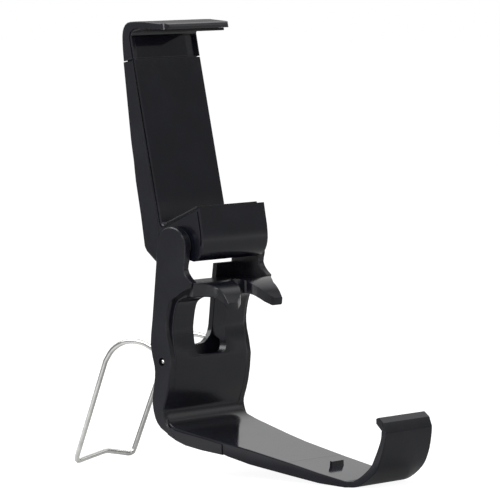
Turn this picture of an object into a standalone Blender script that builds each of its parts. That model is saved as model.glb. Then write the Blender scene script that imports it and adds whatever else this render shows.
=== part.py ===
"""Controller phone clip: a sprung phone clamp that tilts on a moulded bracket with a fold-out wire stand.

Side views are drawn in millimetres as (forward, up). The bracket is drawn from the floor under its hinge,
the arm is drawn about the tilt hinge with up along the arm.
"""
import math

import bmesh
import bpy
from mathutils import Matrix, Vector

MM = 0.001

# Fits, in millimetres
FIT = 0.05
RUNNING = 0.3

# Driving sizes of the arm
ARM_LEAN = math.radians(10.8)
ARM_HALF = 17.0
ARM_WALL = 1.6
PANEL_FRONT = -6.6
PANEL_THICK = 1.0
PANEL_SWELL = 0.7
PANEL_BACK = PANEL_FRONT - PANEL_THICK
GROOVE_DEPTH = 0.4
GROOVE_HALF = 0.24
SEAM_UP = 64.2
SEAM_GAP = 0.3
CAVITY_LOW = 6.0
BARREL_RADIUS = 4.9
JAW_WALL = 1.6
JAW_TRAVEL = 22.0
JAW_CORNER = 2.8
UPPER_TIP = 9.15
PAD_THICK = 0.9
LINER_POCKET = 1.2
LINER_FAR = ARM_HALF - 6.2

# Driving sizes of the bracket: its width follows the arm, its height the hinge
FRAME_MIDDLE = 21.075
HINGE_FORWARD = 4.4
HINGE_UP = 76.7
HINGE_RISE = 12.7
EAR_RADIUS = 6.3
WASHER_THICK = 0.65
FLANGE_THICK = 3.0
FLANGE_INNER = ARM_HALF + RUNNING + WASHER_THICK + FIT
FLANGE_OUTER = FLANGE_INNER + FLANGE_THICK
WEB_EDGE_ROUND = 0.45
SHELF_TOP = HINGE_UP - HINGE_RISE
SHELF_THICK = 2.0
SHELF_DRAWN = 64.0
CHIN_UP = 16.0
WINDOW_HALF = 8.1
WINDOW_LOW = 39.0
WINDOW_HIGH = SHELF_TOP - 4.5
REAR_WALL_THICK = 1.8
REAR_WALL_LOW_HALF = FLANGE_INNER - 3.1
RIB_THICK = 1.8
NOTCH_RADIUS = 2.7
NOTCH_FORWARD = 16.0
STRIP_DECK = 2.2
STRIP_HOLLOW_HALF = 10.8
TAB_HALF = 3.0

# Driving sizes of the wire stand
WIRE_RADIUS = 0.85
WIRE_PIVOT = (0.0, 37.8)
WIRE_HOLE_RADIUS = 1.35
WIRE_END_HALF = FLANGE_OUTER - 0.3
WIRE_LEG_HALF = FLANGE_INNER - 2.3
WIRE_FOOT_HALF = WIRE_LEG_HALF - 0.9

# Driving sizes of the hidden fittings
PIN_RADIUS = 1.5
PIN_HALF = FLANGE_OUTER - 1.1
WASHER_RADIUS = 5.9
STOP_UP = SEAM_UP - 14.2
STOP_RADIUS = 1.5
BOSS_RADIUS = 0.95
ANCHOR_RADIUS = 0.6
SPRING_SIDE = ARM_HALF - 5.0
SPRING_MIDDLE = -9.4
SPRING_RADIUS = 1.05
SPRING_WIRE = 0.2
SPRING_TURNS = 9
SPRING_LOOP_FIT = 0.12
LOWER_ANCHOR_UP = 7.6
TONGUE_THICK = 1.3
TONGUE_MIDDLE = -9.05
TONGUE_HALF = SPRING_SIDE - 3.0
TONGUE_LOW = STOP_UP - JAW_TRAVEL - 7.5
TONGUE_HIGH = SEAM_UP + 6.8
UPPER_ANCHOR_UP = TONGUE_LOW + 1.8
UPPER_ANCHOR_HALF = SPRING_SIDE + 1.4
SCREW_HEAD = 1.5
SCREW_SHANK = 0.8
SCREW_CLEARANCE = 0.1
HOUSING_SCREW_SPOTS = ((ARM_HALF - 5.0, SEAM_UP - 7.2), (ARM_HALF - 6.5, 3.2))
TONGUE_SCREW_SPOT = (TONGUE_HALF - 4.0, SEAM_UP + 3.8)

# How the drawing planes sit in the model, as (drawing right, drawing up, thickness)
SIDE = Matrix(((0, 0, -1), (-1, 0, 0), (0, 1, 0)))
FRONT = Matrix(((1, 0, 0), (0, 0, -1), (0, 1, 0)))
PLAN = Matrix(((1, 0, 0), (0, -1, 0), (0, 0, -1)))

for old in list(bpy.data.objects):
    bpy.data.objects.remove(old, do_unlink=True)


def new_collection(name):
    """Make a collection in the scene."""
    collection = bpy.data.collections.new(name)
    bpy.context.scene.collection.children.link(collection)
    return collection


PARTS = new_collection("controller_phone_clip")
CUTTERS = new_collection("cutters")
CUTTERS.hide_render = True


def new_material(name, colour, roughness, metallic=0.0):
    """Make a plain Principled material."""
    material = bpy.data.materials.new(name)
    material.use_nodes = True
    shader = material.node_tree.nodes["Principled BSDF"]
    shader.inputs["Base Color"].default_value = (*colour, 1.0)
    shader.inputs["Roughness"].default_value = roughness
    shader.inputs["Metallic"].default_value = metallic
    material.diffuse_color = (*colour, 1.0)
    return material


BLACK = (0.018, 0.019, 0.022)
RUBBER = (0.012, 0.012, 0.013)
STEEL = (0.62, 0.62, 0.60)


def new_empty(name, parent, place, turn=0.0):
    """Make an empty that carries parts, turned about the sideways axis."""
    empty = bpy.data.objects.new(name, None)
    empty.empty_display_size = 0.01
    PARTS.objects.link(empty)
    empty.parent = parent
    empty.location = place
    empty.rotation_euler = (turn, 0.0, 0.0)
    return empty


BRACKET_FRAME = new_empty("bracket_frame", None, (0.0, FRAME_MIDDLE * MM, 0.0))
STAND_AXIS = new_empty("stand_swing_axis", BRACKET_FRAME, (0.0, -WIRE_PIVOT[0] * MM, WIRE_PIVOT[1] * MM))
ARM_AXIS = new_empty("arm_tilt_axis", BRACKET_FRAME, (0.0, -HINGE_FORWARD * MM, HINGE_UP * MM), -ARM_LEAN)
JAW_SLIDE = new_empty("jaw_slide_axis", ARM_AXIS, (0.0, 0.0, 0.0))


def place(right, forward, up):
    """Turn millimetres (right, forward, up) into a position in a frame."""
    return Vector((right, -forward, up)) * MM


def smooth(points, steps):
    """Run a rounded line through the points, with a few steps between neighbours."""
    vectors = [Vector(point) for point in points]
    padded = [2 * vectors[0] - vectors[1]] + vectors + [2 * vectors[-1] - vectors[-2]]
    line = []
    for index in range(1, len(padded) - 2):
        before, start, stop, after = padded[index - 1:index + 3]
        for step in range(steps):
            t = step / steps
            bend = (2 * before - 5 * start + 4 * stop - after) * t * t
            twist = (3 * start - before - 3 * stop + after) * t * t * t
            line.append(0.5 * (2 * start + (stop - before) * t + bend + twist))
    line.append(vectors[-1])
    return [tuple(point) for point in line]


def arc(centre, radius, first, last, steps):
    """Points on a circle from one angle to another, in degrees."""
    angles = [math.radians(first + (last - first) * step / steps) for step in range(steps + 1)]
    return [(centre[0] + radius * math.cos(a), centre[1] + radius * math.sin(a)) for a in angles]


def rounded_box(left, right, low, high, radius, steps=4):
    """Outline of a rectangle with round corners."""
    corners = ((right, low, -90), (right, high, 0), (left, high, 90), (left, low, 180))
    outline = []
    for across, up, start in corners:
        centre = (across - math.copysign(radius, across - (left + right) / 2),
                  up - math.copysign(radius, up - (low + high) / 2))
        outline += arc(centre, radius, start, start + 90, steps)
    return outline


def raised(up):
    """Carry a drawn height of the bracket to its place: all above the chin stretches with the hinge."""
    return up if up < CHIN_UP else CHIN_UP + (up - CHIN_UP) * (SHELF_TOP - CHIN_UP) / (SHELF_DRAWN - CHIN_UP)


def drawn(points):
    """Side view points of the bracket with their heights carried to their places."""
    return [(forward, raised(up)) for forward, up in points]


def above_seam(points):
    """Side view points of the upper jaw, given by their rise over the seam."""
    return [(forward, SEAM_UP + rise) for forward, rise in points]


def band(path, half):
    """Outline of a band of even width along an open path."""
    spots = [Vector(point) for point in path]
    left = []
    right = []
    for index, spot in enumerate(spots):
        before = spots[max(index - 1, 0)]
        after = spots[min(index + 1, len(spots) - 1)]
        aside = (after - before).normalized().orthogonal() * half
        left.append(tuple(spot + aside))
        right.append(tuple(spot - aside))
    return left + right[::-1]


def finish(obj, material):
    """Give an object its material and shading by angle."""
    obj.data.materials.clear()
    obj.data.materials.append(material)
    obj.data.shade_smooth()
    obj.data.set_sharp_from_angle(angle=math.radians(32))
    return obj


def link(obj, parent):
    """Put an object among the parts, under its frame."""
    PARTS.objects.link(obj)
    obj.parent = parent
    return obj


def as_mesh(source):
    """Turn a curve or modified object into a plain mesh object of the same name."""
    graph = bpy.context.evaluated_depsgraph_get()
    mesh = bpy.data.meshes.new_from_object(source.evaluated_get(graph))
    form = bmesh.new()
    form.from_mesh(mesh)
    bmesh.ops.remove_doubles(form, verts=form.verts, dist=0.000004)
    bmesh.ops.recalc_face_normals(form, faces=form.faces)
    form.to_mesh(mesh)
    form.free()
    name = source.name
    source.name = name + "_source"
    result = bpy.data.objects.new(name, mesh)
    mesh.name = name
    link(result, source.parent)
    result.matrix_basis = source.matrix_basis.copy()
    bpy.data.objects.remove(source, do_unlink=True)
    return result


def sheet(name, parent, plane, outline, low, high, edge=0.0):
    """Thicken a flat outline between two distances, with softened edges when asked."""
    curve = bpy.data.curves.new(name, "CURVE")
    curve.dimensions = "2D"
    curve.fill_mode = "BOTH"
    curve.extrude = ((high - low) / 2 - edge) * MM
    curve.bevel_depth = edge * MM
    curve.bevel_resolution = 0
    curve.offset = -edge * MM
    spline = curve.splines.new("POLY")
    spline.points.add(len(outline) - 1)
    for point, (across, up) in zip(spline.points, outline):
        point.co = (across * MM, up * MM, 0.0, 1.0)
    spline.use_cyclic_u = True
    middle = (low + high) / 2
    centre = {id(SIDE): place(middle, 0, 0), id(FRONT): place(0, middle, 0), id(PLAN): place(0, 0, middle)}
    obj = link(bpy.data.objects.new(name, curve), parent)
    obj.matrix_basis = Matrix.Translation(centre[id(plane)]) @ plane.to_4x4()
    return as_mesh(obj)


def loft(name, parent, rings):
    """Join closed rings of equal length into one body with flat ends."""
    form = bmesh.new()
    rows = [[form.verts.new(place(*point)) for point in ring] for ring in rings]
    count = len(rows[0])
    for row, following in zip(rows, rows[1:]):
        for index in range(count):
            after = (index + 1) % count
            form.faces.new((row[index], row[after], following[after], following[index]))
    form.faces.new(rows[0])
    form.faces.new(rows[-1])
    bmesh.ops.recalc_face_normals(form, faces=form.faces)
    mesh = bpy.data.meshes.new(name)
    form.to_mesh(mesh)
    form.free()
    return link(bpy.data.objects.new(name, mesh), parent)


def rod(name, parent, radius, start, stop, forward, up, vertices=24):
    """A cylinder along the sideways axis."""
    bpy.ops.mesh.primitive_cylinder_add(vertices=vertices, radius=radius * MM, depth=(stop - start) * MM)
    obj = bpy.context.object
    obj.name = name
    for collection in list(obj.users_collection):
        collection.objects.unlink(obj)
    link(obj, parent)
    obj.matrix_basis = Matrix.Translation(place((start + stop) / 2, forward, up)) @ SIDE.to_4x4()
    return obj


def drill(name, parent, radius, start, stop, side, up, vertices=20):
    """A cylinder along the forward axis."""
    obj = rod(name, parent, radius, start, stop, 0, 0, vertices)
    obj.matrix_basis = Matrix.Translation(place(side, (start + stop) / 2, up)) @ FRONT.to_4x4()
    return obj


def turned(name, parent, profile, plane, centre, closed, steps=20):
    """Spin a profile of (radius, height), drawn downward on its outer side, about an axis."""
    mesh = bpy.data.meshes.new(name)
    points = [(radius * MM, 0.0, height * MM) for radius, height in profile]
    edges = [(index, index + 1) for index in range(len(points) - 1)]
    if closed:
        edges.append((len(points) - 1, 0))
    mesh.from_pydata(points, edges, [])
    obj = link(bpy.data.objects.new(name, mesh), parent)
    spin = obj.modifiers.new("Spin", "SCREW")
    spin.axis = "Z"
    spin.steps = steps
    spin.render_steps = steps
    spin.use_merge_vertices = True
    spin.merge_threshold = 0.000004
    obj.matrix_basis = Matrix.Translation(centre) @ plane.to_4x4()
    return as_mesh(obj)


def shape(target, tool, operation):
    """Join, cut or keep the common part, with the tool kept among the cutters."""
    PARTS.objects.unlink(tool)
    CUTTERS.objects.link(tool)
    tool.hide_render = True
    tool.display_type = "WIRE"
    step = target.modifiers.new(tool.name, "BOOLEAN")
    step.operation = operation
    step.solver = "EXACT"
    step.object = tool


def wire(name, parent, points, radius, resolution):
    """A round wire through points, with filled ends."""
    curve = bpy.data.curves.new(name, "CURVE")
    curve.dimensions = "3D"
    curve.bevel_depth = radius * MM
    curve.bevel_resolution = resolution
    curve.use_fill_caps = True
    spline = curve.splines.new("POLY")
    spline.points.add(len(points) - 1)
    for point, spot in zip(spline.points, points):
        point.co = (*place(*spot), 1.0)
    return link(bpy.data.objects.new(name, curve), parent)


# Controller bracket: each stretch lists (inner forward, inner up, outer forward, outer up, inset of the sides)
HORN = ((23.3, 55.6, 23.6, 58.1, 7.0), (21.6, 57.6, 21.8, 60.9, 6.8), (19.2, 59.4, 19.2, 63.0, 6.3),
        (16.0, 59.9, 16.2, 64.3, 3.8), (13.2, 59.8, 13.5, 64.6, 0.9))
THROAT = (HORN[-1], (9.0, 59.5, 8.3, 63.8, 2.4), (5.4, 57.9, 2.2, 60.0, 2.4), (4.0, 55.0, 0.6, 55.8, 2.4),
          (3.1, 50.2, -0.4, 50.3, 2.4), (3.0, 46.8, 0.0, 46.5, 2.4), (4.2, 37.9, 1.6, 37.6, 2.4))
CHIN = (THROAT[-1], (2.6, 28.4, 0.3, 28.6, 2.4), (0.9, 23.3, -1.1, 23.6, 2.4), (0.3, 20.9, -1.6, 20.8, 2.4),
        (1.6, 18.0, 0.2, 16.6, 1.2), (4.6, 16.2, 3.9, 14.2, 0.6), (11.2, 14.5, 10.7, 12.1, 1.8))
STRIP = (CHIN[-1], (24.8, 11.5, 24.2, 7.2, 4.5), (33.0, 9.83, 32.4, 4.95, 6.0), (49.8, 6.4, 49.3, 2.25, 7.1),
         (61.0, 4.1, 60.7, 0.65, 7.3), (71.8, 2.2, 71.5, 0.0, 7.5))
HOOK = (STRIP[-1], (76.3, 3.0, 77.2, 0.8, 7.8), (81.5, 7.1, 83.4, 5.2, 8.1), (83.7, 11.1, 86.3, 10.3, 8.3),
        (85.7, 16.2, 87.7, 15.9, 8.5), (86.1, 19.5, 88.0, 18.9, 8.6))
LIP = (HOOK[-1], (83.9, 21.6, 86.9, 22.0, 8.6), (83.9, 23.1, 84.9, 23.6, 8.6))
FLANGE_FRONT = ((3.0, 15.6), (1.4, 17.6), (0.5, 20.9), (1.0, 23.4), (2.6, 28.4), (3.9, 37.9), (2.3, 46.0),
                (2.0, 50.4), (2.9, 55.2), (4.0, 58.4))


def web_stations():
    """Stations along the web, from the horn tips to the hook's lip."""
    stations = []
    for stretch, steps in ((HORN, 3), (THROAT, 4), (CHIN, 4), (STRIP, 1), (HOOK, 4), (LIP, 1)):
        points = [(a, raised(b), c, raised(d), FLANGE_OUTER - inset) for a, b, c, d, inset in stretch]
        if steps > 1:
            inner = smooth([point[0:2] for point in points], steps)
            outer = smooth([point[2:4] for point in points], steps)
            halves = []
            for index in range(len(inner)):
                first = min(index // steps, len(points) - 2)
                share = index / steps - first
                halves.append(points[first][4] * (1 - share) + points[first + 1][4] * share)
            points = [(*a, *b, half) for a, b, half in zip(inner, outer, halves)]
        stations += points if not stations else points[1:]
    return stations


def web_ring(inner_forward, inner_up, outer_forward, outer_up, half):
    """Section of the web: a flat bar with rounded edges between its two faces."""
    inner = Vector((inner_forward, inner_up))
    outer = Vector((outer_forward, outer_up))
    through = (outer - inner).normalized()
    ring = []
    for sign in (1, -1):
        face_in = inner if sign > 0 else outer
        face_out = outer if sign > 0 else inner
        away = through * sign * WEB_EDGE_ROUND
        middle_in = face_in + away
        middle_out = face_out - away
        for side, spot in ((half - WEB_EDGE_ROUND, face_in), (half - 0.3 * WEB_EDGE_ROUND, face_in + 0.3 * away),
                           (half, middle_in), (half, middle_out),
                           (half - 0.3 * WEB_EDGE_ROUND, face_out - 0.3 * away), (half - WEB_EDGE_ROUND, face_out)):
            ring.append((side * sign, spot.x, spot.y))
    return ring


def ear_outline():
    """Side view of a flange with its hinge ear."""
    rear = smooth(drawn(((-2.3, 70.4), (-3.2, 62.0), (-4.3, 51.6), (-5.2, 43.1), (-3.6, 36.2), (-3.5, 32.2),
                         (-4.4, 27.1), (-4.6, 23.4), (-3.5, 18.7), (-1.1, 15.5), (3.6, 12.9))), 2)
    front = smooth(drawn(FLANGE_FRONT), 2) + drawn(((8.6, 61.4), (13.0, 63.4)))
    sweep = smooth(drawn(((13.3, 64.8), (11.2, 66.7), (9.9, 69.1), (10.5, 72.0))), 2)
    crown = arc((HINGE_FORWARD, HINGE_UP), EAR_RADIUS, 0, 180, 14)
    return rear + [(6.0, 12.4)] + front + sweep + crown


def rim_rings(sign):
    """Rings of the side rim that ends in a step beside the strip."""
    rings = []
    for forward, inset, top, bottom, thick in ((2.0, 0.12, 15.9, 13.3, 2.6), (5.5, 0.2, 15.0, 11.6, 2.6),
                                               (9.0, 0.8, 14.2, 10.2, 2.5), (15.0, 2.0, 13.0, 8.9, 2.2),
                                               (22.6, 3.7, 11.2, 7.7, 1.8)):
        outer = (FLANGE_OUTER - inset) * sign
        half = FLANGE_OUTER - inset
        inner = (half - thick) * sign
        rings.append([(outer, forward, top), (outer, forward, bottom + 0.4), (outer - 0.4 * sign, forward, bottom),
                      (inner, forward, bottom), (inner, forward, top)])
    return rings


def build_bracket():
    """The bracket: one moulding with ears, window, horns, strip and hook."""
    bracket = loft("controller_bracket", BRACKET_FRAME, [web_ring(*station) for station in web_stations()])
    window = rounded_box(-WINDOW_HALF, WINDOW_HALF, WINDOW_LOW, WINDOW_HIGH, 3.2)
    shape(bracket, sheet("window_cut", BRACKET_FRAME, FRONT, window, -2.0, 14.0), "DIFFERENCE")
    flare = ((3.1, 17.0), (3.4, 18.8), (4.5, 20.55), (6.05, 22.1), (8.3, 23.05), (13.0, 24.8))
    notch = arc((0, NOTCH_FORWARD), NOTCH_RADIUS, 170, 370, 12) + list(flare)
    notch += [(-side, forward) for side, forward in reversed(flare)]
    shape(bracket, sheet("notch_cut", BRACKET_FRAME, PLAN, notch, raised(50.0), SHELF_TOP + 6.0), "DIFFERENCE")
    deck = [(forward, up - STRIP_DECK) for forward, up in (STRIP[1][0:2], STRIP[2][0:2], STRIP[3][0:2], STRIP[4][0:2])]
    hollow = sheet("strip_hollow", BRACKET_FRAME, SIDE, deck + [(61.0, -1.0), (24.8, -1.0)], -STRIP_HOLLOW_HALF,
                   STRIP_HOLLOW_HALF)
    shape(bracket, hollow, "DIFFERENCE")
    for sign, name in ((-1, "left"), (1, "right")):
        near, far = sorted((sign * FLANGE_INNER, sign * FLANGE_OUTER))
        flange = sheet("flange_" + name, BRACKET_FRAME, SIDE, ear_outline(), near, far, 0.35)
        shape(bracket, flange, "UNION")
        shape(bracket, loft("rim_" + name, BRACKET_FRAME, rim_rings(sign)), "UNION")
    outer = drawn(((-1.9, 68.9), (-2.8, 62.0), (-3.9, 51.6), (-4.6, 45.6)))
    upper = outer + [(forward + REAR_WALL_THICK, up) for forward, up in reversed(outer)]
    wall = sheet("rear_wall", BRACKET_FRAME, SIDE, upper, -FLANGE_INNER - 0.6, FLANGE_INNER + 0.6)
    low = drawn(((-4.25, 48.0), (-4.7, 43.2), (-3.2, 36.4), (-3.1, 30.0)))
    tongue = low + [(forward + REAR_WALL_THICK, up) for forward, up in reversed(low)]
    tail = sheet("rear_tail", BRACKET_FRAME, SIDE, tongue, -REAR_WALL_LOW_HALF, REAR_WALL_LOW_HALF, 0.25)
    shape(wall, tail, "UNION")
    slot = arc((WINDOW_HALF - 6.0, raised(48.0)), 6.0, -90, 0, 5) + [(WINDOW_HALF, SHELF_TOP + 8.0)]
    slot = slot + [(-side, up) for side, up in reversed(slot)]
    shape(wall, sheet("slot_cut", BRACKET_FRAME, FRONT, slot, -8.0, 4.0), "DIFFERENCE")
    shape(bracket, wall, "UNION")
    shelf = [(-1.8, SHELF_TOP - SHELF_THICK), (11.0, SHELF_TOP - SHELF_THICK + 0.3), (13.3, SHELF_TOP + 0.3),
             (10.4, SHELF_TOP + 0.1), (-1.7, SHELF_TOP)]
    reach = FLANGE_INNER + 0.7
    shape(bracket, sheet("shelf", BRACKET_FRAME, SIDE, shelf, -reach, reach), "UNION")
    rib = drawn(((-3.6, 45.4), (1.3, 42.8), (1.4, 46.6), (1.2, 50.3), (2.2, 55.5), (3.8, 59.4), (6.0, 62.7),
                 (-1.5, 62.8), (-2.7, 52.0)))
    for sign in (-1, 1):
        near, far = sorted((sign * (WINDOW_HALF + 0.15), sign * (WINDOW_HALF + RIB_THICK)))
        shape(bracket, sheet(f"rib_{sign}", BRACKET_FRAME, SIDE, rib, near, far), "UNION")
    tab = [(57.0, 4.2), (58.2, 4.0), (58.1, 6.6), (57.2, 6.75)]
    shape(bracket, sheet("tab", BRACKET_FRAME, SIDE, tab, -TAB_HALF, TAB_HALF), "UNION")
    for sign in (-1, 1):
        near, far = sorted((sign * (FLANGE_INNER - 0.6), sign * (FLANGE_OUTER + 1.0)))
        hole = rod(f"wire_hole_{sign}", BRACKET_FRAME, WIRE_HOLE_RADIUS, near, far, *WIRE_PIVOT, vertices=16)
        shape(bracket, hole, "DIFFERENCE")
        near, far = sorted((sign * (FLANGE_INNER - 0.6), sign * (PIN_HALF + FIT)))
        seat = rod(f"pin_seat_{sign}", BRACKET_FRAME, PIN_RADIUS + FIT, near, far, HINGE_FORWARD, HINGE_UP)
        shape(bracket, seat, "DIFFERENCE")
    finish(bracket, new_material("bracket_plastic", BLACK, 0.22))


def build_stand():
    """The wire stand: one bent wire, drawn about its pivot."""
    pivot = Vector(WIRE_PIVOT)
    crook = smooth(((-1.6, 38.45), (-9.6, 41.7), (-12.7, 42.9), (-17.1, 43.4), (-22.1, 42.6), (-26.7, 40.0),
                    (-29.9, 36.0)), 3)
    foot = Vector((-45.01, WIRE_RADIUS))
    leg_start = Vector(crook[-1])
    along = (foot - leg_start).normalized()
    kink = foot - along * 2.2
    half = [(WIRE_END_HALF, *WIRE_PIVOT)]
    half += [(WIRE_LEG_HALF + 1.4, *WIRE_PIVOT), (WIRE_LEG_HALF + 0.5, -0.25, 37.9), (WIRE_LEG_HALF, -0.8, 38.12)]
    half += [(WIRE_LEG_HALF, forward, up) for forward, up in crook]
    near_foot = foot - along * 2.0
    half += [(WIRE_FOOT_HALF, near_foot.x, near_foot.y), (WIRE_FOOT_HALF - 0.4, foot.x + 0.3, foot.y + 0.35)]
    half += [(WIRE_FOOT_HALF - 1.2, foot.x, foot.y), (WIRE_FOOT_HALF - 2.4, foot.x, foot.y)]
    bar = [(0.9, kink.x, kink.y), (-0.9, kink.x, kink.y)]
    points = half + bar + [(-side, forward, up) for side, forward, up in reversed(half)]
    centred = [(side, forward - pivot.x, up - pivot.y) for side, forward, up in points]
    stand = wire("wire_stand", STAND_AXIS, centred, WIRE_RADIUS, 2)
    finish(as_mesh(stand), new_material("stand_wire", STEEL, 0.2, 1.0))


# Rear surface of the arm, drawn about the hinge
HOUSING_REAR = ((-11.9, SEAM_UP - SEAM_GAP), (-12.9, SEAM_UP - 13.2), (-13.9, 38.0), (-14.1, 31.0), (-14.6, 24.0),
                (-14.7, 12.5), (-15.1, 1.9))


def screw_seats(target, spots, rear, floor, through, prefix):
    """Sink a head recess and a clearance hole for each screw."""
    for index, (side, up) in enumerate(spots):
        for sign in (-1, 1):
            label = f"{prefix}_{index}_{sign}"
            radius = SCREW_HEAD + SCREW_CLEARANCE
            recess = drill(label + "_head", target.parent, radius, rear, floor[index], side * sign, up)
            shape(target, recess, "DIFFERENCE")
            hole = drill(label + "_hole", target.parent, SCREW_SHANK + SCREW_CLEARANCE, rear, through, side * sign, up, 14)
            shape(target, hole, "DIFFERENCE")


HOUSING_HEAD_FLOORS = (-11.7, -13.4)


def build_housing():
    """The housing: rear tray of the arm, open at the top and toward the cover."""
    front = PANEL_BACK - FIT
    outline = [(front, SEAM_UP - SEAM_GAP)] + smooth(HOUSING_REAR, 2)
    outline += [(-14.5, 0.2), (-11.8, -3.1), (-10.8, -4.2), (-10.1, -4.0), (front, -2.2)]
    housing = sheet("rear_housing", ARM_AXIS, SIDE, outline, -ARM_HALF, ARM_HALF, 0.35)
    inside = [(front + 2.0, CAVITY_LOW), (front + 2.0, SEAM_UP + 3.0)]
    wall = [(forward + ARM_WALL, up) for forward, up in HOUSING_REAR[:-1]]
    inside += [(wall[0][0] + 0.3, SEAM_UP + 3.0)] + wall + [(HOUSING_REAR[-1][0] + ARM_WALL, CAVITY_LOW)]
    half = ARM_HALF - ARM_WALL
    shape(housing, sheet("housing_cavity", ARM_AXIS, SIDE, inside, -half, half), "DIFFERENCE")
    post = drill("stop_post", ARM_AXIS, BOSS_RADIUS, -12.2, PANEL_BACK - 0.1, 0.0, STOP_UP, 16)
    shape(housing, post, "UNION")
    screw_seats(housing, HOUSING_SCREW_SPOTS, -16.0, HOUSING_HEAD_FLOORS, -7.0, "housing")
    finish(housing, new_material("housing_plastic", BLACK, 0.3))


def jaw_pocket():
    """Hollow under the lower jaw, in side view."""
    start = math.degrees(math.acos(2.4 / BARREL_RADIUS))
    barrel = arc((0, 0), BARREL_RADIUS, start, -70, 8)
    low = (barrel[-1][0], -9.0)
    return [(5.4, -9.0), (5.7, -4.8), (7.6, -3.7), (9.0, -1.4), (9.7, 3.0), (9.7, 8.6), (2.4, 7.1)] + barrel + [low]


def cut_groove(target, path, name):
    """Run a shallow groove along a path on both side faces."""
    for sign in (-1, 1):
        near, far = sorted((sign * (ARM_HALF - GROOVE_DEPTH), sign * (ARM_HALF + 1.0)))
        groove = sheet(f"{name}_{sign}", target.parent, SIDE, band(path, GROOVE_HALF), near, far)
        shape(target, groove, "DIFFERENCE")


def build_cover():
    """The cover: front panel of the arm with the lower jaw and the hinge barrel."""
    nose = smooth(((11.35, 3.2), (11.05, 0.2), (10.4, -2.4), (9.0, -4.8), (6.9, -6.2)), 2)
    barrel = arc((0, 0), BARREL_RADIUS, -75, -155, 6)
    foot = PANEL_FRONT + PANEL_SWELL
    outline = [(PANEL_BACK, SEAM_UP - SEAM_GAP), (PANEL_FRONT, SEAM_UP - SEAM_GAP), (foot, 8.8)]
    outline += [(foot + 0.25, 7.95), (foot + 1.1, 7.6), (9.6, 10.7), (11.5, 10.9)] + nose + [(5.4, -6.4)]
    outline += barrel + [(PANEL_BACK, -2.1)]
    cover = sheet("front_cover", ARM_AXIS, SIDE, outline, -ARM_HALF, ARM_HALF, 0.35)
    half = ARM_HALF - JAW_WALL
    shape(cover, sheet("jaw_hollow", ARM_AXIS, SIDE, jaw_pocket(), -half, half), "DIFFERENCE")
    edge = [(PANEL_FRONT - 0.62, SEAM_UP + 1.0), (foot - 0.66, 8.6), (foot - 0.2, 7.25), (foot + 1.1, 6.8),
            (9.5, 9.95), (10.6, 9.6), (10.5, 3.2), (10.2, 0.2), (9.7, -1.8)]
    cut_groove(cover, edge, "cover_groove")
    bore = rod("barrel_bore", ARM_AXIS, PIN_RADIUS + RUNNING, -ARM_HALF - 1, ARM_HALF + 1, 0, 0)
    shape(cover, bore, "DIFFERENCE")
    side, up = HOUSING_SCREW_SPOTS[0]
    for sign in (-1, 1):
        boss = drill(f"cover_boss_{sign}", ARM_AXIS, 1.9, -10.6, PANEL_FRONT - 0.5, side * sign, up, 16)
        shape(cover, boss, "UNION")
    for index, (side, up) in enumerate(HOUSING_SCREW_SPOTS):
        for sign in (-1, 1):
            tip = (-7.3, -4.6)[index]
            hole = drill(f"cover_hole_{index}_{sign}", ARM_AXIS, SCREW_SHANK + FIT, -12.0, tip, side * sign, up, 14)
            shape(cover, hole, "DIFFERENCE")
    finish(cover, new_material("cover_plastic", BLACK, 0.42))


def build_upper_jaw():
    """The upper jaw: an L in side view with round front corners."""
    rear = smooth(above_seam(((-11.7, 0.0), (-11.3, 4.3), (-10.6, 8.5), (-9.5, 11.0), (-7.5, 12.4), (-4.2, 12.2),
                              (0.5, 11.4))), 2)
    tip = smooth(above_seam(((8.2, 9.25), (8.9, 8.8), (UPPER_TIP, 7.95), (8.6, 7.1))), 2)
    inner = above_seam(((6.6, 7.4), (-1.6, 9.0), (-4.8, 9.1), (-6.1, 8.7), (PANEL_FRONT, 7.9), (PANEL_FRONT, 0.0)))
    jaw = sheet("upper_jaw", JAW_SLIDE, SIDE, rear + tip + inner, -ARM_HALF, ARM_HALF, 0.35)
    corner = arc((ARM_HALF - JAW_CORNER, UPPER_TIP - JAW_CORNER), JAW_CORNER + 0.02, 0, 90, 6)
    behind = [(-ARM_HALF - 2, 5.0), (-ARM_HALF - 2, -14.0), (ARM_HALF + 2, -14.0), (ARM_HALF + 2, 5.0)]
    plan = corner + [(-side, forward) for side, forward in reversed(corner)] + behind
    shape(jaw, sheet("jaw_plan", JAW_SLIDE, PLAN, plan, SEAM_UP - 2, SEAM_UP + 16.0), "INTERSECT")
    near = ARM_HALF - JAW_WALL
    recess = rounded_box(-near, ARM_HALF - 0.8, SEAM_UP - 2.0, SEAM_UP + 7.6, 0.5, 2)
    pocket = sheet("liner_pocket", JAW_SLIDE, FRONT, recess, PANEL_FRONT - LINER_POCKET, PANEL_FRONT + 2.0)
    shape(jaw, pocket, "DIFFERENCE")
    edge = above_seam(((PANEL_FRONT - 0.62, -1.0), (PANEL_FRONT - 0.62, 7.4), (-6.6, 8.8), (-5.0, 9.6), (-3.0, 9.55)))
    cut_groove(jaw, edge, "jaw_groove")
    low, high = TONGUE_MIDDLE - TONGUE_THICK / 2, TONGUE_MIDDLE + TONGUE_THICK / 2
    slit = rounded_box(-TONGUE_HALF - FIT, TONGUE_HALF + FIT, SEAM_UP - 4, TONGUE_HIGH + FIT, 0.4, 2)
    shape(jaw, sheet("tongue_slit", JAW_SLIDE, FRONT, slit, low - FIT, high + FIT), "DIFFERENCE")
    screw_seats(jaw, (TONGUE_SCREW_SPOT,), -14.0, (-10.6,), high - 0.2, "jaw")
    finish(jaw, new_material("jaw_plastic", BLACK, 0.34))


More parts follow.
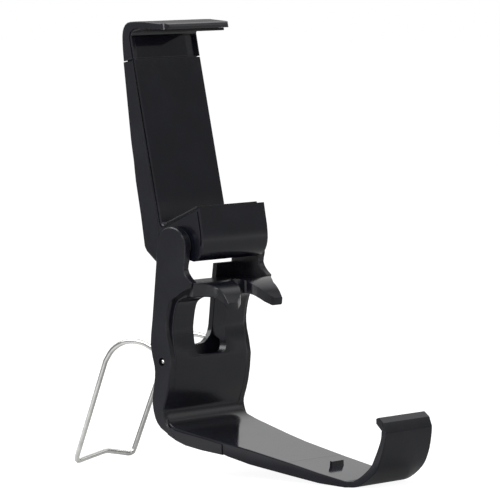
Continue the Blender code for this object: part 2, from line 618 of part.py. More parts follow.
def build_liner():
    """The liner: a flat plate in the front recess of the upper jaw."""
    half = ARM_HALF - JAW_WALL - FIT
    outline = rounded_box(-half, LINER_FAR, SEAM_UP, SEAM_UP + 7.6 - FIT, 0.45, 2)
    back = PANEL_FRONT - LINER_POCKET + FIT
    liner = sheet("upper_jaw_liner", JAW_SLIDE, FRONT, outline, back, PANEL_FRONT - 0.1, 0.2)
    finish(liner, new_material("liner_plastic", (0.028, 0.029, 0.032), 0.45))


def build_pads():
    """Rubber pads on the two jaws."""
    start = PANEL_FRONT + PANEL_SWELL + 1.1
    slope = (10.7 - 7.6) / (9.6 - start)
    seat = [(start + 0.1, 7.6 + 0.1 * slope + FIT), (9.4, 10.7 - 0.2 * slope + FIT)]
    outline = seat + [(forward, up + PAD_THICK) for forward, up in reversed(seat)]
    half = ARM_HALF - 1.3
    lower = sheet("lower_jaw_pad", ARM_AXIS, SIDE, outline, -half, half, 0.2)
    finish(lower, new_material("lower_pad_rubber", RUBBER, 0.7))
    fall = (9.0 - 7.4) / (6.6 + 1.6)
    top = above_seam(((-1.5, 9.0 - 0.1 * fall - FIT), (6.6, 7.4 - FIT), (7.7, 7.27 - FIT)))
    under = [(forward, up - PAD_THICK) for forward, up in reversed(top)]
    half = ARM_HALF - 2.3
    upper = sheet("upper_jaw_pad", JAW_SLIDE, SIDE, top + under, -half, half, 0.2)
    finish(upper, new_material("upper_pad_rubber", RUBBER, 0.7))


def build_tongue():
    """The tongue: the plate that carries the upper jaw inside the arm."""
    low, high = TONGUE_MIDDLE - TONGUE_THICK / 2, TONGUE_MIDDLE + TONGUE_THICK / 2
    outline = rounded_box(-TONGUE_HALF, TONGUE_HALF, TONGUE_LOW, TONGUE_HIGH, 0.8, 2)
    tongue = sheet("slide_tongue", JAW_SLIDE, FRONT, outline, low, high)
    foot = [(-10.5, TONGUE_LOW + 0.2), (high - 0.1, TONGUE_LOW + 0.2), (high - 0.1, TONGUE_LOW + 3.9),
            (-10.5, TONGUE_LOW + 3.5)]
    shape(tongue, sheet("tongue_foot", JAW_SLIDE, SIDE, foot, -TONGUE_HALF + 1.0, TONGUE_HALF - 1.0), "UNION")
    reach = STOP_RADIUS + RUNNING
    slot = arc((0, STOP_UP), reach, 0, 180, 8) + arc((0, STOP_UP - JAW_TRAVEL), reach, 180, 360, 8)
    shape(tongue, sheet("stop_slot", JAW_SLIDE, FRONT, slot, -12.0, -7.0), "DIFFERENCE")
    pin = rod("anchor_hole", JAW_SLIDE, ANCHOR_RADIUS + FIT, -16, 16, SPRING_MIDDLE, UPPER_ANCHOR_UP, 16)
    shape(tongue, pin, "DIFFERENCE")
    side, up = TONGUE_SCREW_SPOT
    for sign in (-1, 1):
        hole = drill(f"tongue_hole_{sign}", JAW_SLIDE, SCREW_SHANK + SCREW_CLEARANCE, -12, -7, side * sign, up, 14)
        shape(tongue, hole, "DIFFERENCE")
    finish(tongue, new_material("tongue_plastic", (0.05, 0.05, 0.055), 0.4))


def build_screw(name, parent, side, up, head_floor, tip):
    """A pan head screw along the forward axis, seen from behind."""
    length = tip - head_floor
    radius = SCREW_HEAD
    profile = ((0, -1.0), (0.5, -0.95), (radius * 0.75, -0.8), (radius, -0.35), (radius, -FIT), (SCREW_SHANK, -FIT),
               (SCREW_SHANK, length - 0.6), (0.3, length), (0, length))
    outward = tuple(reversed(profile))
    screw = turned(name, parent, outward, FRONT, place(side, head_floor, up), False, 16)
    finish(screw, new_material(name + "_steel", (0.35, 0.35, 0.36), 0.3, 1.0))


def build_springs():
    """Extension springs with round end loops over the two anchor pins."""
    for sign, name in ((-1, "left"), (1, "right")):
        loop_radius = ANCHOR_RADIUS + SPRING_WIRE + SPRING_LOOP_FIT
        centre = sign * SPRING_SIDE
        first = LOWER_ANCHOR_UP + loop_radius + 0.5
        last = UPPER_ANCHOR_UP - loop_radius - 0.5
        steps = SPRING_TURNS * 8
        coil = []
        for step in range(steps + 1):
            angle = 2 * math.pi * step / 8
            coil.append((centre + SPRING_RADIUS * math.sin(angle), SPRING_MIDDLE + SPRING_RADIUS * math.cos(angle),
                         first + (last - first) * step / steps))
        lower = [(centre, SPRING_MIDDLE + loop_radius * math.cos(a), LOWER_ANCHOR_UP + loop_radius * math.sin(a))
                 for a in (math.radians(150 + 285 * step / 8) for step in range(9))]
        upper = [(centre, SPRING_MIDDLE + loop_radius * math.cos(a), UPPER_ANCHOR_UP + loop_radius * math.sin(a))
                 for a in (math.radians(-75 + 285 * step / 8) for step in range(9))]
        spring = wire("return_spring_" + name, ARM_AXIS, lower + coil + upper, SPRING_WIRE, 0)
        finish(as_mesh(spring), new_material("spring_steel_" + name, (0.5, 0.5, 0.5), 0.3, 1.0))


def build_pins():
    """Steel pins, the stop bush and the two friction washers."""
    hinge = rod("hinge_pin", BRACKET_FRAME, PIN_RADIUS, -PIN_HALF, PIN_HALF, HINGE_FORWARD, HINGE_UP)
    finish(hinge, new_material("hinge_steel", STEEL, 0.25, 1.0))
    reach = ARM_HALF - ARM_WALL - FIT
    lower = rod("lower_anchor_pin", ARM_AXIS, ANCHOR_RADIUS, -reach, reach, SPRING_MIDDLE, LOWER_ANCHOR_UP, 16)
    finish(lower, new_material("lower_anchor_steel", STEEL, 0.3, 1.0))
    reach = UPPER_ANCHOR_HALF
    upper = rod("upper_anchor_pin", JAW_SLIDE, ANCHOR_RADIUS, -reach, reach, SPRING_MIDDLE, UPPER_ANCHOR_UP, 16)
    finish(upper, new_material("upper_anchor_steel", STEEL, 0.3, 1.0))
    inner = BOSS_RADIUS + FIT
    ring = ((inner, 0.0), (inner, 1.7), (STOP_RADIUS, 1.7), (STOP_RADIUS, 0.0))
    bush = turned("stop_bush", ARM_AXIS, ring, FRONT, place(0, -9.9, STOP_UP), True, 16)
    finish(bush, new_material("bush_plastic", (0.5, 0.5, 0.48), 0.4))
    inner = PIN_RADIUS + FIT
    ring = ((inner, 0.0), (inner, WASHER_THICK), (WASHER_RADIUS, WASHER_THICK), (WASHER_RADIUS, 0.0))
    for name, side in (("left", -ARM_HALF - RUNNING), ("right", FLANGE_INNER - FIT)):
        spot = place(side, HINGE_FORWARD, HINGE_UP)
        washer = turned("friction_washer_" + name, BRACKET_FRAME, ring, SIDE, spot, True, 32)
        finish(washer, new_material("washer_rubber_" + name, RUBBER, 0.6))


def build_screws():
    """Screws of the housing and of the tongue."""
    number = 1
    for index, (side, up) in enumerate(HOUSING_SCREW_SPOTS):
        for sign in (-1, 1):
            tip = (-7.5, -5.0)[index]
            build_screw(f"housing_screw_{number}", ARM_AXIS, side * sign, up, HOUSING_HEAD_FLOORS[index], tip)
            number += 1
    side, up = TONGUE_SCREW_SPOT
    for sign, name in ((-1, "left"), (1, "right")):
        build_screw("tongue_screw_" + name, JAW_SLIDE, side * sign, up, -10.6, TONGUE_MIDDLE + TONGUE_THICK / 2 - 0.3)


build_bracket()
build_stand()
build_housing()
build_cover()
build_upper_jaw()
build_liner()
build_pads()
build_tongue()
build_springs()
build_pins()
build_screws()
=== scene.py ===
"""Controller phone clip, dressed for the photograph's view: glossy black mouldings, rubber, a bright wire."""
import math

import bpy
import numpy as np
from mathutils import Matrix, Vector


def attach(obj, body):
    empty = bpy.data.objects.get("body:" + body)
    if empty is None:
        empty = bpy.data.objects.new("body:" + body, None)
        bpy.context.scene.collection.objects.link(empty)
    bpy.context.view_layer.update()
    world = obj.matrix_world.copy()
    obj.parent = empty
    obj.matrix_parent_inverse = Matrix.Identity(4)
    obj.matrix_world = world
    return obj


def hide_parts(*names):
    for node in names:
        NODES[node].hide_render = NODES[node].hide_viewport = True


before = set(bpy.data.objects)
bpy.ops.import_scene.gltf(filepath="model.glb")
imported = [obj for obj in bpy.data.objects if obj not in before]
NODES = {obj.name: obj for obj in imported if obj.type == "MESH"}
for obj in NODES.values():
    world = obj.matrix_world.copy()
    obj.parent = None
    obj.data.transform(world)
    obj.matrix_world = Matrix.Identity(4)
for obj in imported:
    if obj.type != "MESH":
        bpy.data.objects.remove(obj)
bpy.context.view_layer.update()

MM = 0.001

# Where the clip's drawing sits in the frame, in millimetres: the tilt hinge and the arm's lean
FRAME_MIDDLE = 21.075
HINGE_FORWARD = 4.4
HINGE_UP = 76.7
ARM_LEAN = math.radians(10.8)

# Camera: a long lens, fitted to the photograph
VIEW_TURN = math.radians(-50.0)
VIEW_RISE = math.radians(4.2)
VIEW_ROLL = math.radians(-0.6)
VIEW_AIM = (0.0, -0.0002, 0.0747)
VIEW_DISTANCE = 1.5
VIEW_LENS = 324.0

# The way the camera looks, and to its left, level with the floor
VIEW_AHEAD = (-math.sin(VIEW_TURN), math.cos(VIEW_TURN), 0.0)
VIEW_LEFT = (-math.cos(VIEW_TURN), -math.sin(VIEW_TURN), 0.0)

# What a gloss sees of the studio: bright behind the clip, dark to the sides, lit again near the camera
GLOSS_BEHIND = 1.0
GLOSS_HORIZON = 0.2
GLOSS_SIDE_FRONT = 0.46
GLOSS_SIDE_BACK = 0.23
GLOSS_CAMERA = 0.5

# What soft light gets from the studio
SOFT_SKY = 0.30

# Where the gloss levels change: by how far a direction points ahead (SHARE), or by how far it rises (RISE)
WALL_RISE = (0.12, 0.42)
SIDE_SHARE = (-0.2, 0.2)
BEHIND_SHARE = (0.52, 0.93)
CAMERA_SHARE = (-0.9, -0.5)
OVERHEAD_RISE = (0.4, 0.65)
OVERHEAD_LIFT = 0.22

# What a gloss sees of the floor: in front, behind the clip, toward the camera, far left, by the wire's foot
FLOOR_FRONT = 0.09
FLOOR_BEHIND = 0.8
FLOOR_CAMERA = 0.5
FLOOR_LEFT = 0.22
FLOOR_FOOT = 0.5

# Where the floor's levels change, in metres from the clip. CAMERA_WAY goes by direction alone.
BEHIND_AHEAD = (0.02, 0.35)
CAMERA_WAY = (-0.75, -0.3)
CAMERA_REACH = (0.12, 0.3)
LEFT_ASIDE = (0.5, 1.3)
FOOT_ASIDE = (0.03, 0.08)
FOOT_REACH = (0.12, 0.28)

# The floor for all else: half its side in metres, its level to the camera and to soft light, its grey
FLOOR_HALF = 4.0
FLOOR_SEEN = 0.93
FLOOR_SOFT = 0.10
FLOOR_GREY = (0.30, 0.30, 0.30, 1.0)

BLACK = (0.0, 0.0, 0.0, 1.0)
WHITE = (1.0, 1.0, 1.0, 1.0)

# Lamps: a soft one overhead, a tall narrow one to the left and one behind it that draw the edges, a weak fill
LAMP_AIM = (0.0, 0.0, 0.07)
LAMPS = {
    "overhead": {"spot": (-0.1, 0.25, 1.1), "width": 0.8, "height": 0.8, "power": 6.0},
    "edge light": {"spot": (-0.56, -0.26, 0.31), "width": 0.14, "height": 0.56, "power": 1.3},
    "rim light": {"spot": (-0.36, 0.58, 0.63), "width": 0.5, "height": 0.5, "power": 3.0},
    "fill": {"spot": (0.9, -0.9, 0.9), "width": 0.9, "height": 0.9, "power": 1.6},
}

# Softened edges of the CAD nodes, in metres, and the nodes that are round wire and keep their mesh
WELD = 0.000002
BRACKET_EDGE = 0.00025
SMALL_EDGE = 0.00012
ROUND_NODES = ("wire_stand", "return_spring_left", "return_spring_right")

# Cross screw, in millimetres: the domed top, the head's rim as radius and depth, the shank and the cross
DOME_RADIUS = 1.12
DOME_START = 0.06
DOME_TOP = -1.0
DOME_FALL = 0.22
HEAD_RIM = [(1.3, -0.66), (1.42, -0.5), (1.49, -0.32), (1.5, -0.1), (1.45, -0.05)]
SHANK_START = -0.05
SHANK_RADIUS = 0.8
TIP_RADIUS = 0.3
TIP_LENGTH = 0.6
CROSS_HALF = 0.27
CROSS_WALL = 0.09
CROSS_REACH = 0.95
CROSS_FADE = 0.35
CROSS_DEPTH = 0.65
SCREW_SIDES = 72

# Where the screws sit in the arm's own directions: half their spacing, height, face under the head and tip
UPPER_PAIR = {"side": 12.0, "up": 57.0, "floor": -11.7, "tip": -7.5}
LOWER_PAIR = {"side": 10.5, "up": 3.2, "floor": -13.4, "tip": -5.0}
TONGUE_PAIR = {"side": 5.0, "up": 68.0, "floor": -10.6, "tip": -8.7}

# Skirt in the jaw's seam, in millimetres: its outer wall, its heights from the seam and its ledge
SEAM_UP = 64.2
SKIRT_HALF = 15.0
SKIRT_BACK = -10.0
SKIRT_FRONT = -7.95
SKIRT_CORNER = 0.5
SKIRT_WALL = 0.25
SKIRT_LOW = SEAM_UP - 1.1
SKIRT_CHAMFER = 0.1
LEDGE_REACH = 0.9
LEDGE_LOW = SEAM_UP - 0.26
LEDGE_HIGH = SEAM_UP + 0.15
SKIRT_SIDES = 64


def make_camera():
    """Camera at the photograph's angle, rolled about its own axis."""
    level = math.cos(VIEW_RISE)
    back = Vector((math.sin(VIEW_TURN) * level, -math.cos(VIEW_TURN) * level, math.sin(VIEW_RISE)))
    right = Vector((math.cos(VIEW_TURN), math.sin(VIEW_TURN), 0.0))
    up = back.cross(right)
    rolled_right = right * math.cos(VIEW_ROLL) + up * math.sin(VIEW_ROLL)
    rolled_up = up * math.cos(VIEW_ROLL) - right * math.sin(VIEW_ROLL)
    camera = bpy.data.objects.new("camera", bpy.data.cameras.new("camera"))
    bpy.context.scene.collection.objects.link(camera)
    turn = Matrix((rolled_right, rolled_up, back)).transposed().to_4x4()
    camera.matrix_world = Matrix.Translation(Vector(VIEW_AIM) + back * VIEW_DISTANCE) @ turn
    camera.data.lens = VIEW_LENS
    camera.data.sensor_width = 36.0
    camera.data.clip_start = 0.05
    camera.data.clip_end = 50.0
    bpy.context.scene.camera = camera


class Wire:
    """A node socket that can be used in arithmetic."""

    def __init__(self, tree, socket):
        self.tree = tree
        self.socket = socket

    def math(self, operation, *values):
        """Add a Math node that takes this socket and the values."""
        node = self.tree.nodes.new("ShaderNodeMath")
        node.operation = operation
        for port, value in zip(node.inputs, (self, *values)):
            connect(self.tree, port, value)
        return Wire(self.tree, node.outputs[0])

    def __add__(self, other):
        return self.math("ADD", other)

    def __mul__(self, other):
        return self.math("MULTIPLY", other)

    def __sub__(self, other):
        return self.math("SUBTRACT", other)


def connect(tree, port, value):
    """Set an input to a value or link it to a socket."""
    if isinstance(value, Wire):
        tree.links.new(value.socket, port)
    else:
        port.default_value = value


class Graph:
    """A node tree and the methods that add nodes to it."""

    def __init__(self, tree):
        self.tree = tree

    def node(self, kind, settings=None, out=0, **ports):
        """Add a node: its settings first, then the values or links of its sockets.

        A socket is given by its name with underscores, or as n and its number.
        """
        node = self.tree.nodes.new(kind)
        for key, value in (settings or {}).items():
            setattr(node, key, value)
        for key, value in ports.items():
            by_number = key[0] == "n" and key[1:].isdigit()
            port = node.inputs[int(key[1:]) if by_number else key.replace("_", " ")]
            connect(self.tree, port, value)
        return Wire(self.tree, node.outputs[out]) if node.outputs else None

    def range(self, value, low, high, to_low, to_high, smooth=False):
        """Carry a stretch of values onto another, held at the ends."""
        settings = {"interpolation_type": "SMOOTHSTEP"} if smooth else None
        return self.node("ShaderNodeMapRange", settings, Value=value, From_Min=low, From_Max=high,
                         To_Min=to_low, To_Max=to_high)

    def blend(self, factor, first, second):
        """Blend two numbers."""
        return self.node("ShaderNodeMix", n0=factor, n2=first, n3=second)

    def mix(self, factor, first, second):
        """Blend two colours."""
        return self.node("ShaderNodeMix", {"data_type": "RGBA"}, out=2, n0=factor, n6=first, n7=second)

    def along(self, vector, way):
        """How far a direction or place goes a given way."""
        return self.node("ShaderNodeVectorMath", {"operation": "DOT_PRODUCT"}, out="Value", n0=vector, n1=way)

    def part_of(self, vector, letter):
        """The X, Y or Z of a vector."""
        return self.node("ShaderNodeSeparateXYZ", out=letter, Vector=vector)

    def ray(self, kind):
        """One for rays of a kind and nought for the others."""
        return self.node("ShaderNodeLightPath", out=kind)


class Finish(Graph):
    """A material with a Principled shader."""

    def __init__(self, name):
        self.material = bpy.data.materials.new(name)
        self.material.use_nodes = True
        super().__init__(self.material.node_tree)
        self.shader = self.tree.nodes["Principled BSDF"]
        self.place = self.node("ShaderNodeTexCoord", out="Object")

    def noise(self, scale, detail=3.0, roughness=0.5):
        """Soft grey noise, about one half on average, at that many lumps a metre."""
        return self.node("ShaderNodeTexNoise", Vector=self.place, Scale=scale, Detail=detail,
                         Roughness=roughness)

    def bump(self, height, strength, distance):
        """Raise the surface by a height map."""
        return self.node("ShaderNodeBump", Height=height, Strength=strength, Distance=distance)

    def set(self, **ports):
        """Set or link the shader's sockets."""
        for key, value in ports.items():
            connect(self.tree, self.shader.inputs[key.replace("_", " ")], value)
        return self.material


def moulding(name, colour, rough, grain, dull=None, crease=None):
    """Moulded ABS: faint cloudy colour, handling marks in the gloss, slight waves and a fine moulded grain.

    From the first height in dull to the second, the surface grows duller by the third number. The crease is a
    faint sunk line across the piece, at that place along Y.
    """
    finish = Finish(name)
    cloud = finish.noise(90.0, 4.0)
    marks = finish.noise(700.0, 5.0, 0.6)
    fine = finish.noise(9000.0, 2.0)
    darker = (*(c * 0.85 for c in colour), 1.0)
    lighter = (*(c * 1.2 for c in colour), 1.0)
    tone = finish.mix(finish.range(cloud, 0.35, 0.65, 0.0, 1.0), darker, lighter)
    roughness = finish.range(cloud * 0.5 + marks * 0.5, 0.35, 0.65, *rough)
    if dull:
        low, high, added = dull
        up = finish.part_of(finish.place, "Z")
        roughness = roughness + finish.range(up, low, high, 0.0, added, smooth=True)
    height = cloud * 0.9 + fine * grain
    if crease:
        away = (finish.part_of(finish.place, "Y") - crease).math("ABSOLUTE")
        height = height - finish.range(away, 0.00005, 0.0006, 3.0, 0.0, smooth=True)
    return finish.set(Base_Color=tone, Roughness=roughness, Normal=finish.bump(height, 0.25, 0.00004))


def bright_wire(name):
    """Plated wire: bright, with faint drawing marks and slightly duller patches."""
    finish = Finish(name)
    patches = finish.noise(500.0, 3.0)
    share = finish.range(patches, 0.3, 0.7, 0.0, 1.0)
    tone = finish.mix(share, (0.64, 0.64, 0.62, 1.0), (0.80, 0.80, 0.78, 1.0))
    rough = finish.range(patches, 0.3, 0.7, 0.07, 0.13)
    marks = finish.bump(finish.noise(6000.0, 2.0), 0.05, 0.00002)
    return finish.set(Base_Color=tone, Roughness=rough, Metallic=1.0, Normal=marks)


def steel(name, tint):
    """Small turned steel fittings."""
    finish = Finish(name)
    lines = finish.noise(3000.0, 3.0)
    rough = finish.range(lines, 0.3, 0.7, 0.22, 0.38)
    darker = tint * 0.8
    share = finish.range(lines, 0.3, 0.7, 0.0, 1.0)
    tone = finish.mix(share, (darker, darker, darker, 1.0), (tint, tint, tint, 1.0))
    marks = finish.bump(lines, 0.05, 0.00002)
    return finish.set(Base_Color=tone, Roughness=rough, Metallic=1.0, Normal=marks)


def rubber(name):
    """Black rubber: matte, with a fine pebbled skin."""
    finish = Finish(name)
    pebble = finish.node("ShaderNodeTexVoronoi", Vector=finish.place, Scale=2600.0)
    cloud = finish.noise(160.0, 3.0)
    share = finish.range(cloud, 0.35, 0.65, 0.0, 1.0)
    tone = finish.mix(share, (0.010, 0.010, 0.011, 1.0), (0.017, 0.017, 0.019, 1.0))
    rough = finish.range(cloud, 0.3, 0.7, 0.62, 0.78)
    return finish.set(Base_Color=tone, Roughness=rough, Normal=finish.bump(pebble, 0.25, 0.00005))


INK = (0.0078, 0.0083, 0.0140)
PANEL_INK = (0.0064, 0.0068, 0.0130)
TONGUE_BLACK = (0.03, 0.03, 0.033)
BUSH_WHITE = (0.5, 0.5, 0.47)

ARM_GLOSS = moulding("arm moulding", INK, rough=(0.14, 0.22), grain=0.10)
BRACKET_GLOSS = moulding("bracket moulding", INK, rough=(0.08, 0.14), grain=0.05,
                         dull=(0.012, 0.020, 0.13), crease=-0.0275)
PLATE_GLOSS = moulding("panel moulding", PANEL_INK, rough=(0.05, 0.10), grain=0.10,
                       dull=(0.094, 0.088, 0.14))
HIDDEN = moulding("tongue moulding", TONGUE_BLACK, rough=(0.3, 0.4), grain=0.1)
RUBBER = rubber("pad rubber")
PLATED = bright_wire("plated wire")
STEEL = steel("pin steel", 0.6)
DARK_STEEL = steel("dark screw steel", 0.32)
NATURAL = moulding("natural plastic", BUSH_WHITE, rough=(0.35, 0.5), grain=0.1)

NODE_FINISH = {
    "controller_bracket": BRACKET_GLOSS,
    "wire_stand": PLATED,
    "rear_housing": ARM_GLOSS,
    "front_cover": PLATE_GLOSS,
    "lower_jaw_pad": RUBBER,
    "upper_jaw": ARM_GLOSS,
    "upper_jaw_liner": PLATE_GLOSS,
    "upper_jaw_pad": RUBBER,
    "slide_tongue": HIDDEN,
    "stop_bush": NATURAL,
    "hinge_pin": STEEL,
    "lower_anchor_pin": STEEL,
    "upper_anchor_pin": STEEL,
}


def finish_of(name):
    """The finish of a CAD node by its name."""
    if "screw" in name:
        return DARK_STEEL
    if "spring" in name:
        return STEEL
    if "washer" in name:
        return RUBBER
    return NODE_FINISH[name]


def shade_smooth(mesh):
    """Smooth shading on every face."""
    mesh.polygons.foreach_set("use_smooth", np.ones(len(mesh.polygons), dtype=bool))


def dress_nodes():
    """Give each CAD node its finish and welded triangles, and all but the round wires softened edges."""
    for name, obj in NODES.items():
        obj.data.materials.clear()
        obj.data.materials.append(finish_of(name))
        shade_smooth(obj.data)
        weld = obj.modifiers.new("weld", "WELD")
        weld.merge_threshold = WELD
        if name in ROUND_NODES:
            continue
        flat = obj.modifiers.new("flat", "DECIMATE")
        flat.decimate_type = "DISSOLVE"
        flat.angle_limit = math.radians(0.6)
        soft = obj.modifiers.new("edges", "BEVEL")
        soft.width = BRACKET_EDGE if name == "controller_bracket" else SMALL_EDGE
        soft.segments = 2
        soft.limit_method = "ANGLE"
        soft.angle_limit = math.radians(30)
        soft.harden_normals = True
        normals = obj.modifiers.new("normals", "WEIGHTED_NORMAL")
        normals.keep_sharp = True


def arm_place(right, forward, up):
    """Carry arrays of millimetres in the arm's own directions to places in the frame, in metres."""
    ahead = HINGE_FORWARD + forward * math.cos(ARM_LEAN) - up * math.sin(ARM_LEAN)
    height = HINGE_UP + forward * math.sin(ARM_LEAN) + up * math.cos(ARM_LEAN)
    right, ahead, height = np.broadcast_arrays(right, ahead, height)
    return np.stack((right, FRAME_MIDDLE - ahead, height), axis=-1) * MM


def grid_piece(name, places, finish, body, wrap_rows=False, caps=False):
    """Skin a grid of places, closed round its columns: rows join on too, or close on a point at each end."""
    rows, columns = places.shape[:2]
    index = np.arange(rows * columns).reshape(rows, columns)
    first = index if wrap_rows else index[:-1]
    following = np.roll(index, -1, axis=0) if wrap_rows else index[1:]
    corners = (first, np.roll(first, -1, axis=1), np.roll(following, -1, axis=1), following)
    faces = np.stack(corners, axis=-1).reshape(-1, 4).tolist()
    points = places.reshape(-1, 3)
    if caps:
        start = len(points)
        points = np.concatenate((points, [places[0].mean(axis=0), places[-1].mean(axis=0)]))
        low, high = index[0], index[-1]
        faces += np.stack((np.roll(low, -1), low, np.full(columns, start)), axis=-1).tolist()
        faces += np.stack((high, np.roll(high, -1), np.full(columns, start + 1)), axis=-1).tolist()
    mesh = bpy.data.meshes.new(name)
    mesh.from_pydata(points.tolist(), [], faces)
    mesh.validate()
    shade_smooth(mesh)
    mesh.set_sharp_from_angle(angle=math.radians(35))
    mesh.materials.append(finish)
    piece = bpy.data.objects.new(name, mesh)
    bpy.context.scene.collection.objects.link(piece)
    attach(piece, body)
    return piece


def cross_screw(name, node, body, side, up, floor, tip):
    """A pan head screw seen from behind: its profile turned about the screw's axis, with a cross in the head.

    The head's rings sink by the cross's depth where the distance to either arm's centre line is under its
    half width, and the depth fades toward the arm's end.
    """
    dome = np.linspace(DOME_START, DOME_RADIUS, 16)
    head = [(r, DOME_TOP + DOME_FALL * (r / DOME_RADIUS) ** 2) for r in dome]
    length = tip - floor
    shank = [(SHANK_RADIUS, SHANK_START), (SHANK_RADIUS, length - TIP_LENGTH), (TIP_RADIUS, length)]
    profile = np.array(head + HEAD_RIM + shank)
    angle = np.linspace(0.0, 2.0 * math.pi, SCREW_SIDES, endpoint=False)
    radius = profile[:, :1]
    across = radius * np.cos(angle)
    along = radius * np.sin(angle)
    sink = np.zeros_like(across)
    for out, off in ((across, along), (along, across)):
        width = np.clip((CROSS_HALF - np.abs(off)) / CROSS_WALL, 0.0, 1.0)
        reach = np.clip((CROSS_REACH - np.abs(out)) / CROSS_FADE, 0.0, 1.0)
        sink = np.maximum(sink, width * reach)
    depth = profile[:, 1:] + CROSS_DEPTH * sink * (radius < DOME_RADIUS)
    places = arm_place(side + across, floor + depth, up + along)
    piece = grid_piece(name, places, DARK_STEEL, body, caps=True)
    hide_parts(node)


def make_screws():
    """The six screws, each with a cross in its head, in place of the plain ones."""
    number = 1
    for pair in (UPPER_PAIR, LOWER_PAIR):
        for sign in (-1, 1):
            spot = {**pair, "side": pair["side"] * sign}
            cross_screw(f"housing_cross_screw_{number}", f"housing_screw_{number}", "arm", **spot)
            number += 1
    for sign, name in ((-1, "left"), (1, "right")):
        spot = {**TONGUE_PAIR, "side": TONGUE_PAIR["side"] * sign}
        cross_screw(f"tongue_cross_screw_{name}", f"tongue_screw_{name}", "jaw", **spot)


def make_seam_lip():
    """Skirt under the upper jaw that closes the seam.

    An upright band, with a ledge that fills the gap above the housing's rim, is carried round a rounded
    rectangle: each ring is the corners' centres plus a circle, and the ledge's rings are pushed out.
    """
    turn = np.linspace(0.0, 2.0 * math.pi, SKIRT_SIDES, endpoint=False) + math.pi / SKIRT_SIDES
    circle = np.stack((np.cos(turn), np.sin(turn)))
    middle = (SKIRT_BACK + SKIRT_FRONT) / 2
    reach = np.array([[SKIRT_HALF - SKIRT_CORNER], [(SKIRT_FRONT - SKIRT_BACK) / 2 - SKIRT_CORNER]])
    centre = np.sign(circle) * reach
    outer = centre + circle * SKIRT_CORNER
    inner = centre + circle * (SKIRT_CORNER - SKIRT_WALL)
    ledge = outer + np.sign(circle) * LEDGE_REACH
    rows = (
        (outer * 0.5 + inner * 0.5, SKIRT_LOW),
        (inner, SKIRT_LOW),
        (inner, LEDGE_HIGH),
        (ledge, LEDGE_HIGH),
        (ledge, LEDGE_LOW),
        (outer, LEDGE_LOW),
        (outer, SKIRT_LOW + SKIRT_CHAMFER),
    )
    places = np.stack([arm_place(ring[0], middle + ring[1], np.full(SKIRT_SIDES, up)) for ring, up in rows])
    grid_piece("seam_lip", places, ARM_GLOSS, "jaw", wrap_rows=True)


def gloss_level(graph, share, rise):
    """Brightness of the studio in reflections, from behind the clip round to the camera."""
    wall = graph.range(rise, *WALL_RISE, GLOSS_HORIZON, GLOSS_BEHIND, smooth=True)
    sides = graph.range(share, *SIDE_SHARE, GLOSS_SIDE_FRONT, GLOSS_SIDE_BACK)
    overhead = graph.range(rise, *OVERHEAD_RISE, 0.0, OVERHEAD_LIFT)
    behind = graph.range(share + overhead, *BEHIND_SHARE, 0.0, 1.0, smooth=True)
    camera = graph.range(share, *CAMERA_SHARE, GLOSS_CAMERA - GLOSS_SIDE_FRONT, 0.0, smooth=True)
    return graph.blend(behind, sides, wall) + camera


def floor_level(graph, place):
    """Brightness of the floor in reflections."""
    ahead = graph.along(place, VIEW_AHEAD)
    aside = graph.along(place, VIEW_LEFT)
    way = graph.node("ShaderNodeVectorMath", {"operation": "NORMALIZE"}, n0=place)
    reach = graph.node("ShaderNodeVectorMath", {"operation": "LENGTH"}, out="Value", n0=place)
    behind = graph.range(ahead, *BEHIND_AHEAD, FLOOR_FRONT, FLOOR_BEHIND, smooth=True)
    camera = graph.range(graph.along(way, VIEW_AHEAD), *CAMERA_WAY, FLOOR_CAMERA, 0.0, smooth=True)
    camera = camera * graph.range(reach, *CAMERA_REACH, 0.0, 1.0, smooth=True)
    foot = graph.range(aside, *FOOT_ASIDE, 0.0, FLOOR_FOOT)
    foot = foot * graph.range(reach, *FOOT_REACH, 1.0, 0.0, smooth=True)
    left = graph.range(aside, *LEFT_ASIDE, 0.0, FLOOR_LEFT, smooth=True)
    return behind + camera + foot + left


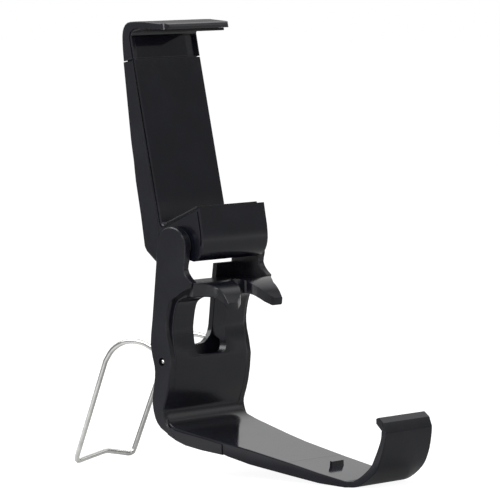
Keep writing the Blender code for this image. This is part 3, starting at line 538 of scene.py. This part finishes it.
def make_floor():
    """Pale floor that looks white to the camera and keeps a faint shadow."""
    mesh = bpy.data.meshes.new("floor")
    signs = ((-1, -1), (1, -1), (1, 1), (-1, 1))
    mesh.from_pydata([(x * FLOOR_HALF, y * FLOOR_HALF, 0) for x, y in signs], [], [(0, 1, 2, 3)])
    floor = bpy.data.objects.new("floor", mesh)
    bpy.context.scene.collection.objects.link(floor)
    finish = Finish("pale floor")
    other = finish.blend(finish.ray("Is Glossy Ray"), FLOOR_SOFT, floor_level(finish, finish.place))
    glow = finish.mix(finish.blend(finish.ray("Is Camera Ray"), other, FLOOR_SEEN), BLACK, WHITE)
    finish.set(Base_Color=FLOOR_GREY, Roughness=0.9, Specular_IOR_Level=0.0, Emission_Color=glow,
               Emission_Strength=1.0)
    mesh.materials.append(finish.material)


def make_world():
    """White surround for the camera and behind the clip, dimmer to its sides."""
    world = bpy.data.worlds.new("studio")
    bpy.context.scene.world = world
    world.use_nodes = True
    world.node_tree.nodes.clear()
    graph = Graph(world.node_tree)
    way = graph.node("ShaderNodeTexCoord", out="Generated")
    gloss = gloss_level(graph, graph.along(way, VIEW_AHEAD), graph.part_of(way, "Z"))
    lit = graph.blend(graph.ray("Is Glossy Ray"), SOFT_SKY, gloss)
    seen = graph.ray("Is Camera Ray").math("MAXIMUM", graph.ray("Is Transmission Ray"))
    sky = graph.node("ShaderNodeBackground", Color=WHITE, Strength=graph.blend(seen, lit, 1.0))
    graph.node("ShaderNodeOutputWorld", Surface=sky)


def make_lamp(name, spot, width, height, power):
    """A rectangular soft lamp that looks at the clip."""
    data = bpy.data.lights.new(name, "AREA")
    data.shape = "RECTANGLE"
    data.size = width
    data.size_y = height
    data.energy = power
    lamp = bpy.data.objects.new(name, data)
    bpy.context.scene.collection.objects.link(lamp)
    lamp.location = spot
    lamp.rotation_euler = (Vector(spot) - Vector(LAMP_AIM)).to_track_quat("Z", "Y").to_euler()


bpy.context.scene.view_settings.view_transform = "Standard"
make_camera()
make_world()
make_floor()
for lamp_name, lamp_values in LAMPS.items():
    make_lamp(lamp_name, **lamp_values)
dress_nodes()
make_screws()
make_seam_lip()
